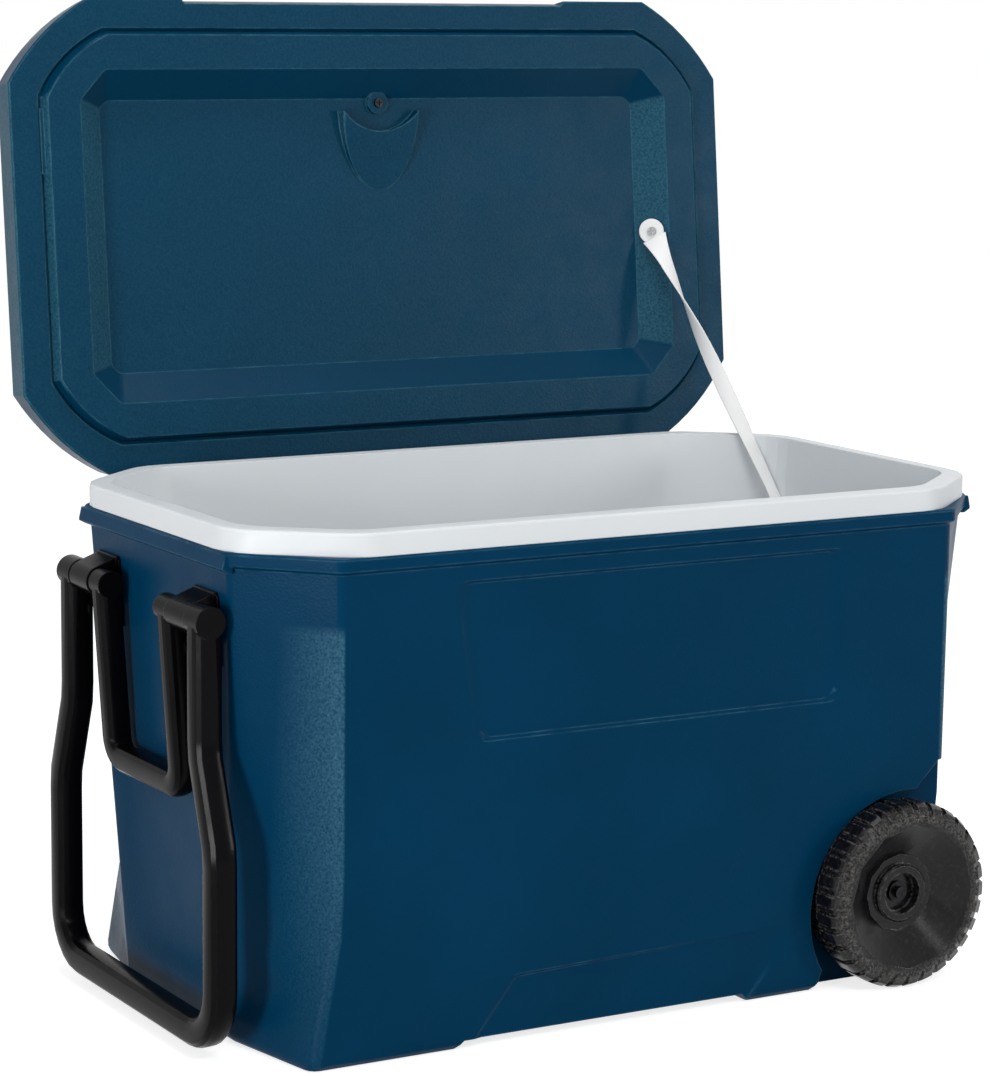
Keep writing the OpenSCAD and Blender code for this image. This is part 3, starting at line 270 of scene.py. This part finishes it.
def rolling_shoulder(finish):
    """1 on the ring where a wheel's side turns into its tread."""
    low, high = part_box("wheel_front")
    radius = 0.5 * (high[2] - low[2])
    x, _, z = finish.parts(finish.place)
    across = finish.math("SUBTRACT", x, 0.5 * (low[0] + high[0]))
    up = finish.math("SUBTRACT", z, 0.5 * (low[2] + high[2]))
    out = finish.math("SQRT", finish.math("ADD", finish.times(across, across), finish.times(up, up)))
    short_of_the_tread = finish.spread(out, 0.97 * radius, 0.9 * radius)
    past_the_dish = finish.spread(out, 0.76 * radius, 0.82 * radius)
    return finish.times(past_the_dish, short_of_the_tread)


def scuffed_tread(name):
    """The wheels' plastic: semi-gloss, with grey dust where it rolls."""
    finish = Finish(name)
    dust = finish.times(finish.patches(240.0, 0.5, 0.75, detail=6.0, roughness=0.65), 0.3)
    base = finish.mix(dust, srgb(9, 8, 11), srgb(60, 58, 58))
    grit = finish.times(
        rolling_shoulder(finish), finish.patches(520.0, 0.4, 0.75, 0.0, 0.6, detail=4.0, roughness=0.5)
    )
    base = finish.mix(grit, base, srgb(104, 102, 98))
    rubbed = finish.times(
        finish.edges(3.0 * MM), finish.patches(330.0, 0.42, 0.62, 0.0, 0.6, detail=3.0, roughness=0.5)
    )
    finish.set("Base Color", finish.mix(rubbed, base, srgb(104, 102, 102)))
    finish.set("Roughness", finish.patches(50.0, 0.3, 0.7, 0.17, 0.27))
    finish.set("Specular IOR Level", 0.2)
    finish.set("Normal", finish.bump(finish.noise(420.0, 3.0), 0.08 * MM, 0.5, finish.rounding(0.8 * MM)))
    return finish.material


def plated_steel(name, bright, dulled):
    """Plated steel with dull patches and fine scratches."""
    finish = Finish(name)
    finish.set("Base Color", finish.mix(finish.patches(160.0, 0.35, 0.7), bright, dulled))
    finish.set("Metallic", 1.0)
    finish.set("Roughness", finish.patches(300.0, 0.3, 0.7, 0.25, 0.45, detail=4.0, roughness=0.5))
    finish.set("Normal", finish.bump(finish.noise(900.0, 2.0), 0.03 * MM, 0.4, finish.rounding(0.3 * MM)))
    return finish.material


def cut_foam(name):
    """Yellowish rigid foam with open pores."""
    finish = Finish(name)
    pores = finish.spread(finish.cells(500.0), 0.0, 0.6)
    finish.set("Base Color", finish.mix(pores, srgb(190, 172, 128), srgb(228, 212, 170)))
    finish.set("Roughness", finish.patches(200.0, 0.3, 0.7, 0.8, 0.95, detail=3.0, roughness=0.5))
    finish.set("Normal", finish.bump(pores, 0.4 * MM, 0.8, finish.rounding(1.0 * MM)))
    return finish.material


def matt_rubber(name):
    """Black rubber with a grey bloom."""
    finish = Finish(name)
    bloom = finish.patches(80.0, 0.4, 0.7, roughness=0.5)
    finish.set("Base Color", finish.mix(bloom, srgb(30, 30, 31), srgb(48, 47, 47)))
    finish.set("Roughness", finish.patches(150.0, 0.3, 0.7, 0.6, 0.8, detail=3.0, roughness=0.5))
    finish.set("Normal", finish.bump(finish.noise(700.0), 0.06 * MM, 0.5, finish.rounding(0.5 * MM)))
    return finish.material


# Painted highlight: the shell's pale tone is painted on its corner faces as lamp light.
BLUE = pebbled_blue("blue_shell", srgb(0, 50, 79), srgb(78, 124, 144), 0.03, corner_painted_highlight)
# Painted sheen: the lid's pale tone is painted on its flat faces, and more on the pan's end walls.
LID_BLUE = pebbled_blue("blue_lid_panel", srgb(0, 49, 74), srgb(80, 136, 150), 0.055, lid_painted_sheen)
WHITE = smooth_white("white_liner", srgb(206, 210, 213))
STRAP_WHITE = smooth_white("white_strap", srgb(218, 219, 219))
BLACK = satin_black("black_handles", srgb(6, 5, 7), 0.17, 0.26, srgb(62, 60, 60))
WHEEL = scuffed_tread("black_wheels")
STEEL = plated_steel("zinc_plate", srgb(150, 152, 154), srgb(112, 112, 110))
DARK_STEEL = plated_steel("blackened_steel", srgb(44, 44, 46), srgb(26, 26, 27))
FOAM = cut_foam("cut_foam")
RUBBER = matt_rubber("matt_rubber")

SLOT_FINISH = {
    "blue_plastic": BLUE,
    "white_plastic": WHITE,
    "black_plastic": BLACK,
    "wheel_plastic": WHEEL,
    "steel": STEEL,
    "foam": FOAM,
    "gasket": RUBBER,
}
NODE_FINISH = {
    "lid_shell": LID_BLUE,
    "lid_inner_panel": LID_BLUE,
    "lid_boss_screw": DARK_STEEL,
    "axle": DARK_STEEL,
    "axle_push_nuts": DARK_STEEL,
}


def finish_nodes():
    """Each node gets its own finish where it has one, and its material slot's finish otherwise."""
    for part in frame["record"]["subparts"]:
        node = frame["nodes"][part["node"]]
        finish = NODE_FINISH.get(part["node"], SLOT_FINISH[part["material_slot"]])
        node.data.materials.clear()
        node.data.materials.append(finish)


# ---------------------------------------------------------------- even shading

SMOOTHED_NODES = (
    "outer_shell", "inner_liner", "lid_shell", "lid_inner_panel", "tow_handle", "carry_handle",
    "handle_bracket_front", "handle_bracket_back", "wheel_front", "wheel_back", "drain_cap",
)
# Points of a CAD mesh closer than this are one point
WELD_DISTANCE = 0.01 * MM
# Edges that turn by more than this stay crisp, on the CAD nodes and on the strap
CRISP_EDGE = math.radians(28)
CRISP_STRAP_EDGE = math.radians(35)


def sharp_by_angle(limit):
    """Node group that marks every edge sharper than limit as hard and shades the rest smooth."""
    group = bpy.data.node_groups.new("sharp_by_angle", "GeometryNodeTree")
    group.is_modifier = True
    group.interface.new_socket("Geometry", in_out="INPUT", socket_type="NodeSocketGeometry")
    group.interface.new_socket("Geometry", in_out="OUTPUT", socket_type="NodeSocketGeometry")
    start = group.nodes.new("NodeGroupInput")
    end = group.nodes.new("NodeGroupOutput")
    faces = group.nodes.new("GeometryNodeSetShadeSmooth")
    hard = group.nodes.new("GeometryNodeSetShadeSmooth")
    hard.domain = "EDGE"
    hard.inputs["Shade Smooth"].default_value = False
    angle = group.nodes.new("GeometryNodeInputMeshEdgeAngle")
    sharper = group.nodes.new("FunctionNodeCompare")
    sharper.inputs["B"].default_value = limit
    group.links.new(angle.outputs["Unsigned Angle"], sharper.inputs["A"])
    group.links.new(sharper.outputs["Result"], hard.inputs["Selection"])
    group.links.new(start.outputs["Geometry"], faces.inputs["Geometry"])
    group.links.new(faces.outputs["Geometry"], hard.inputs["Geometry"])
    group.links.new(hard.outputs["Geometry"], end.inputs["Geometry"])
    return group


def smooth_nodes():
    """Rounded stretches shade as curves while flat faces and crisp edges stay as they are."""
    hard_edges = sharp_by_angle(CRISP_EDGE)
    for name in SMOOTHED_NODES:
        node = frame["nodes"][name]
        weld = node.modifiers.new("weld", "WELD")
        weld.merge_threshold = WELD_DISTANCE
        node.modifiers.new("hard_edges", "NODES").node_group = hard_edges
        shading = node.modifiers.new("even_shading", "WEIGHTED_NORMAL")
        shading.keep_sharp = True
        shading.weight = 100


# ---------------------------------------------------------------- lid strap

# Width and thickness of the strap's band, radii of its eyes and their holes, and the eyes' chamfer
STRAP_WIDTH = 14.0 * MM
STRAP_THICKNESS = 1.5 * MM
EYE_RADIUS = 11.5 * MM
EYE_HOLE = 2.5 * MM
EYE_EDGE = 0.5 * MM
# How far each eye lies behind the middle of its screw, seen from over the middle of the chest
EYE_DROP = 0.5 * MM
# The band starts this far from each eye's middle, and widens towards the eye over the flare's length
BAND_START = 0.6 * EYE_RADIUS
EYE_FLARE = 32.0 * MM
# Sides of an eye's outline, and cross-sections along the band
EYE_SIDES = 40
BAND_STEPS = 72
# The band's outline in half widths and half thicknesses, with its corners cut off
BAND_OUTLINE = ((-1, -0.5), (-0.9, -1), (0.9, -1), (1, -0.5), (1, 0.5), (0.9, 1), (-0.9, 1), (-1, 0.5))
# The band turns over once on its way, on top of the turn between its two ends
STRAP_TURN = math.radians(180.0)
# Rounds after which the long axis of a screw's points has settled
AXIS_ROUNDS = 60


def middle(node):
    """The middle of a node's box."""
    low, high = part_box(node)
    return (Vector(low) + Vector(high)) / 2


def screw_way(node, towards):
    """The long way of a screw's shank, on the side that looks towards a point."""
    points = [vertex.co for vertex in frame["nodes"][node].data.vertices]
    centre = sum(points, Vector()) / len(points)
    offsets = [point - centre for point in points]
    spread = Matrix([[sum(o[i] * o[j] for o in offsets) for j in range(3)] for i in range(3)])
    way = (towards - centre).normalized()
    for _ in range(AXIS_ROUNDS):
        way = (spread @ way).normalized()
    return way if way.dot(towards - centre) > 0 else -way


def join_rings(bm, ring, following):
    """Faces between two rings with as many points."""
    for i in range(len(ring)):
        j = (i + 1) % len(ring)
        bm.faces.new((ring[i], ring[j], following[j], following[i]))


def eye_ring(bm, centre, normal, along):
    """A flat round eye with a hole in it, thick in the direction of normal."""
    across = normal.cross(along).normalized()
    rings = []
    for radius, level in (
        (EYE_HOLE, 0.5), (EYE_RADIUS - EYE_EDGE, 0.5), (EYE_RADIUS, 0.2),
        (EYE_RADIUS, -0.2), (EYE_RADIUS - EYE_EDGE, -0.5), (EYE_HOLE, -0.5),
    ):
        rings.append([
            bm.verts.new(centre + radius * (math.cos(a) * along + math.sin(a) * across)
                         + level * STRAP_THICKNESS * normal)
            for a in (2 * math.pi * i / EYE_SIDES for i in range(EYE_SIDES))
        ])
    for first, second in zip(rings, rings[1:] + rings[:1]):
        join_rings(bm, first, second)


def ribbon(bm, start, end, start_normal, end_normal):
    """A flat band between the eyes that twists from one's plane into the other's."""
    way = (end - start).normalized()
    first = way.cross(start_normal).normalized()
    last = way.cross(end_normal).normalized()
    turn = math.atan2(first.cross(last).dot(way), first.dot(last)) - STRAP_TURN
    rings = []
    for i in range(BAND_STEPS + 1):
        t = i / BAND_STEPS
        # Most of the twist comes near the lid's eye
        across = Matrix.Rotation(turn * (1 - (1 - t) ** 2), 3, way) @ first
        face = way.cross(across)
        near = min(t, 1 - t) * (end - start).length
        flare = max(0.0, 1 - near / EYE_FLARE) ** 2
        half_width = STRAP_WIDTH / 2 + (EYE_RADIUS - STRAP_WIDTH / 2) * flare
        half_thickness = STRAP_THICKNESS / 2
        centre = start + (end - start) * t
        rings.append([
            bm.verts.new(centre + across * half_width * u + face * half_thickness * v)
            for u, v in BAND_OUTLINE
        ])
    for ring, following in zip(rings, rings[1:]):
        join_rings(bm, ring, following)
    bm.faces.new(rings[0][::-1])
    bm.faces.new(rings[-1])


def strap():
    """The white band that holds the lid open, twisted between its two screws."""
    head_screw, foot_screw = middle("strap_screw_lid"), middle("strap_screw_body")
    inside = Vector((0.0, 0.0, head_screw.z))
    head_normal = screw_way("strap_screw_lid", inside)
    foot_normal = screw_way("strap_screw_body", inside)
    head = head_screw - EYE_DROP * head_normal
    foot = foot_screw - EYE_DROP * foot_normal
    way = (foot - head).normalized()
    bm = bmesh.new()
    eye_ring(bm, head, head_normal, (way - way.dot(head_normal) * head_normal).normalized())
    eye_ring(bm, foot, foot_normal, (way - way.dot(foot_normal) * foot_normal).normalized())
    ribbon(bm, head + BAND_START * way, foot - BAND_START * way, head_normal, foot_normal)
    bmesh.ops.recalc_face_normals(bm, faces=bm.faces)
    mesh = bpy.data.meshes.new("strap_band")
    bm.to_mesh(mesh)
    bm.free()
    for face in mesh.polygons:
        face.use_smooth = True
    mesh.set_sharp_from_angle(angle=CRISP_STRAP_EDGE)
    mesh.materials.append(STRAP_WHITE)
    band = bpy.data.objects.new("strap_band", mesh)
    bpy.context.scene.collection.objects.link(band)
    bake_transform(band)
    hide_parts("lid_strap")


# ---------------------------------------------------------------- camera and studio

# The floor's width in metres, the share of its white that comes from light on it, and its grey
FLOOR_WIDTH = 12.0
FLOOR_LIT_SHARE = 0.25
FLOOR_GREY = 0.6
# The room's light on the object, where 1 is white
ROOM_LIGHT = 0.42
# Each lamp's name, place, width and height in metres, and watts; all of them look at one point
LAMPS = (
    ("key", (-0.4, -2.6, 2.1), (1.2, 0.35), 26.0),
    ("top", (0.1, -0.2, 3.2), (1.6, 1.2), 40.0),
    ("left", (-2.6, -1.2, 0.45), (0.4, 0.9), 42.0),
    ("right", (2.1, -2.35, 0.9), (0.35, 0.6), 18.0),
)
LAMP_TARGET = (0.0, 0.0, 0.35)
# The camera's direction and tilt in degrees, the point it looks at, its distance, and its lens
YAW, PITCH, ROLL = -30.0, 9.2, 0.6
LOOK_AT = (-0.0365, 0.0, 0.3644)
CAMERA_DISTANCE = 2.7927
LENS_MM = 113.0
SENSOR_MM = 36.0


def seen_as_white(tree, ray_kinds):
    """1 for a ray of one of these kinds, and 0 for any other."""
    seen = tree.nodes.new("ShaderNodeLightPath")
    highest = seen.outputs[ray_kinds[0]]
    for kind in ray_kinds[1:]:
        larger = tree.nodes.new("ShaderNodeMath")
        larger.operation = "MAXIMUM"
        tree.links.new(highest, larger.inputs[0])
        tree.links.new(seen.outputs[kind], larger.inputs[1])
        highest = larger.outputs[0]
    return highest


def white_to_the_lens(name, lit_share, grey):
    """Pale ground that the lens sees as white, with the object's shadow left on it."""
    material = bpy.data.materials.new(name)
    material.use_nodes = True
    tree = material.node_tree
    tree.nodes.clear()
    output = tree.nodes.new("ShaderNodeOutputMaterial")
    diffuse = tree.nodes.new("ShaderNodeBsdfDiffuse")
    diffuse.inputs["Color"].default_value = (grey, grey, grey, 1.0)
    glow = tree.nodes.new("ShaderNodeEmission")
    seen = seen_as_white(tree, ("Is Camera Ray", "Is Glossy Ray"))
    strength = tree.nodes.new("ShaderNodeMath")
    strength.operation = "MULTIPLY"
    strength.inputs[1].default_value = 1.0 - lit_share
    tree.links.new(seen, strength.inputs[0])
    tree.links.new(strength.outputs[0], glow.inputs["Strength"])
    both = tree.nodes.new("ShaderNodeAddShader")
    tree.links.new(diffuse.outputs[0], both.inputs[0])
    tree.links.new(glow.outputs[0], both.inputs[1])
    tree.links.new(both.outputs[0], output.inputs["Surface"])
    return material


def floor():
    """Plain pale ground under the chest."""
    half = FLOOR_WIDTH / 2
    mesh = bpy.data.meshes.new("floor")
    corners = [(-half, -half, 0), (half, -half, 0), (half, half, 0), (-half, half, 0)]
    mesh.from_pydata(corners, [], [(0, 1, 2, 3)])
    mesh.materials.append(white_to_the_lens("floor", FLOOR_LIT_SHARE, FLOOR_GREY))
    ground = bpy.data.objects.new("floor", mesh)
    bpy.context.scene.collection.objects.link(ground)


def world(strength):
    """An even grey room that looks white to the lens and in gloss."""
    room = bpy.data.worlds.new("studio")
    bpy.context.scene.world = room
    room.use_nodes = True
    tree = room.node_tree
    background = tree.nodes["Background"]
    background.inputs["Color"].default_value = (1.0, 1.0, 1.0, 1.0)
    white = seen_as_white(tree, ("Is Camera Ray", "Is Glossy Ray", "Is Transmission Ray"))
    level = tree.nodes.new("ShaderNodeMapRange")
    level.inputs["To Min"].default_value = strength
    level.inputs["To Max"].default_value = 1.0
    tree.links.new(white, level.inputs["Value"])
    tree.links.new(level.outputs["Result"], background.inputs["Strength"])


def lamp(name, place, size, power):
    """A rectangular lamp that looks at the lamps' target."""
    light = bpy.data.lights.new(name, "AREA")
    light.shape = "RECTANGLE"
    light.size, light.size_y = size
    light.energy = power
    lamp_object = bpy.data.objects.new(name, light)
    lamp_object.location = place
    way = Vector(LAMP_TARGET) - Vector(place)
    lamp_object.rotation_euler = way.to_track_quat("-Z", "Y").to_euler()
    bpy.context.scene.collection.objects.link(lamp_object)


def studio():
    """Even light from the room, and lamps for the form and the gloss."""
    world(ROOM_LIGHT)
    for name, place, size, power in LAMPS:
        lamp(name, place, size, power)


def camera():
    """The camera looks at the chest from the front and the handle end, a little from above."""
    yaw, pitch, roll = (math.radians(angle) for angle in (YAW, PITCH, ROLL))
    back = Vector((math.sin(yaw) * math.cos(pitch), -math.cos(yaw) * math.cos(pitch), math.sin(pitch)))
    data = bpy.data.cameras.new("camera")
    data.sensor_width = SENSOR_MM
    data.lens = LENS_MM
    eye = bpy.data.objects.new("camera", data)
    eye.location = Vector(LOOK_AT) + CAMERA_DISTANCE * back
    eye.rotation_euler = (-back).to_track_quat("-Z", "Y").to_euler()
    eye.rotation_euler.rotate_axis("Z", roll)
    bpy.context.scene.collection.objects.link(eye)
    bpy.context.scene.camera = eye


# ---------------------------------------------------------------- scene

finish_nodes()
smooth_nodes()
strap()
floor()
studio()
camera()
bpy.context.scene.view_settings.view_transform = "Standard"

bpy.context.view_layer.update()
